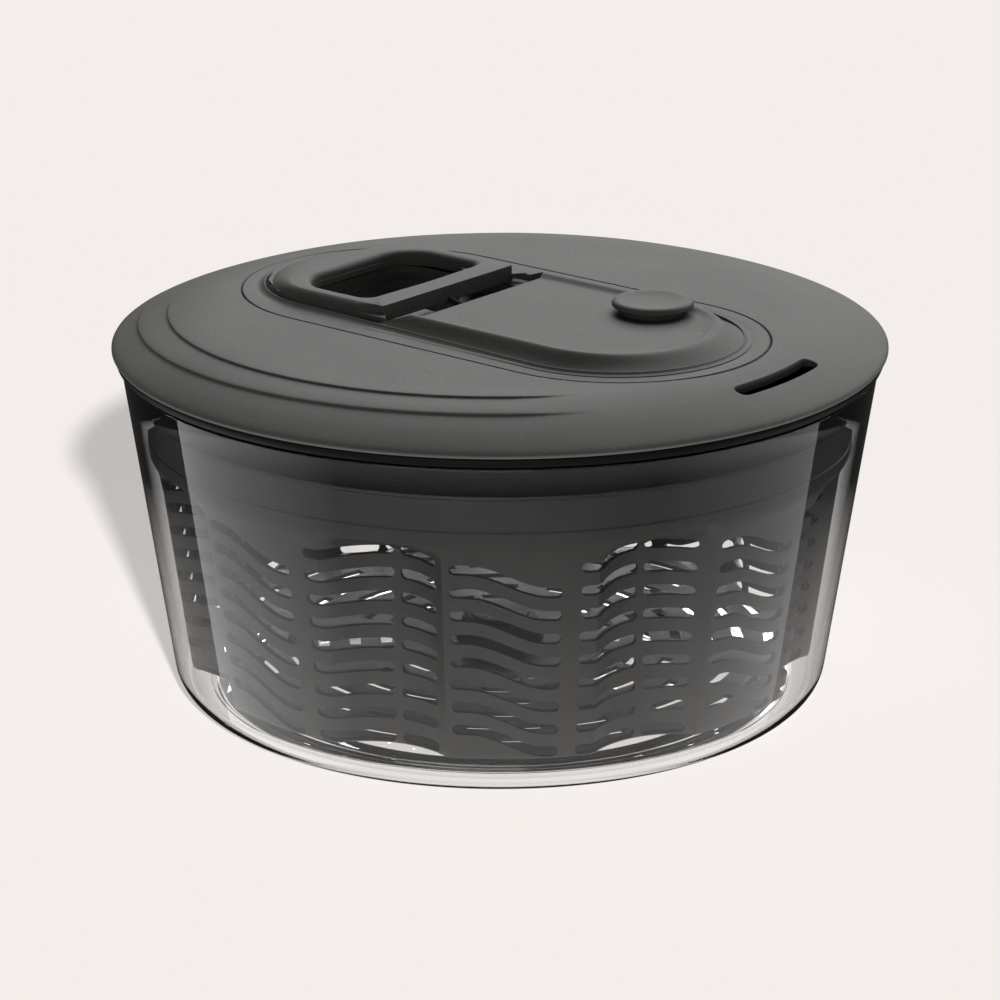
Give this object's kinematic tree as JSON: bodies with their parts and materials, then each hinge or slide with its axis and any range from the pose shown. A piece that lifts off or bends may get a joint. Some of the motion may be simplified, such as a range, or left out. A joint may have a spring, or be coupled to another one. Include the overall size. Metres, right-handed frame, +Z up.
{
  "type": "salad spinner",
  "caption": "Round pull-cord salad spinner: clear bowl, slotted lobed basket and a flat lid with a D-shaped pull handle, a raised drive housing and a round brake button.",
  "frame": {"origin": "centre of the bowl's foot, on the surface it stands on", "axes": "+Z up along the spin axis, +X along the lid's oblong deck from the pull handle towards the brake button, +Y to the left of that"},
  "size_m": [0.265, 0.265, 0.1396],
  "materials": {
    "clear_styrene": "clear, polished",
    "basket_plastic": "dark grey, satin moulded",
    "lid_plastic": "warm grey, fine moulded grain",
    "dark_plastic": "near-black satin",
    "natural_plastic": "natural acetal",
    "steel": "plain steel",
    "cord": "braided polyester cord",
    "brake_rubber": "matte rubber"
  },
  "bodies": {
    "bowl": {"bowl": "clear_styrene"},
    "lid": {"lid_shell": "lid_plastic", "lid_inner_cover": "dark_plastic", "deck_cover": "lid_plastic", "reel_housing": "dark_plastic", "spindle": "steel", "hub_bush": "natural_plastic", "spring_arbor": "steel", "recoil_spring": "steel", "cord_run": "cord", "roller_pin": "steel", "cover_screw_1": "steel", "cover_screw_2": "steel", "cover_screw_3": "steel", "cover_screw_4": "steel", "cord_eyelet": "steel", "button_spring": "steel"},
    "reel": {"cord_reel": "natural_plastic", "reel_spring_cover": "natural_plastic", "cord_winding": "cord", "clutch_ring": "dark_plastic"},
    "drive": {"drive_hub": "natural_plastic", "drive_disc": "dark_plastic", "hub_nut": "dark_plastic"},
    "basket": {"basket": "basket_plastic"},
    "roller": {"guide_roller": "natural_plastic"},
    "handle": {"handle_top": "lid_plastic", "handle_base": "dark_plastic", "handle_screw_1": "steel", "handle_screw_2": "steel", "cord_anchor": "steel", "pull_cord": "cord"},
    "button": {"brake_button": "lid_plastic", "brake_pad": "brake_rubber"}
  },
  "joints": [
    {"name": "lid_lift", "type": "slide", "parent": "bowl", "child": "lid", "axis": [0, 0, 1], "range_m": [0, 0.35]},
    {"name": "basket_spin", "type": "hinge", "parent": "lid", "child": "drive", "pos_m": [0, 0, 0.1], "axis": [0, 0, 1], "continuous": true},
    {"name": "basket_lift", "type": "slide", "parent": "drive", "child": "basket", "axis": [0, 0, -1], "range_m": [0, 0.175]},
    {"name": "handle_pull", "type": "slide", "parent": "lid", "child": "handle", "axis": [-0.9781, 0, 0.2079], "range_m": [0, 0.4], "stiffness_N_per_m": 10, "springref_m": -0.2},
    {"name": "reel_spin", "type": "hinge", "parent": "lid", "child": "reel", "pos_m": [0, 0, 0.1175], "axis": [0, 0, 1], "range_deg": [0, 1000]},
    {"name": "roller_spin", "type": "hinge", "parent": "lid", "child": "roller", "pos_m": [0.043, 0, 0.12325], "axis": [0, 1, 0], "range_deg": [-4000, 0]},
    {"name": "brake_press", "type": "slide", "parent": "lid", "child": "button", "axis": [0, 0, -1], "range_m": [0, 0.002], "stiffness_N_per_m": 1500, "springref_m": -0.001, "deforming": ["button_spring"]}
  ],
  "couplings": [
    {"joint": "basket_lift", "follows": "lid_lift", "ratio": 0.5},
    {"joint": "reel_spin", "follows": "handle_pull", "rad_per_m": 43.5},
    {"joint": "roller_spin", "follows": "handle_pull", "rad_per_m": -173.9}
  ]
}
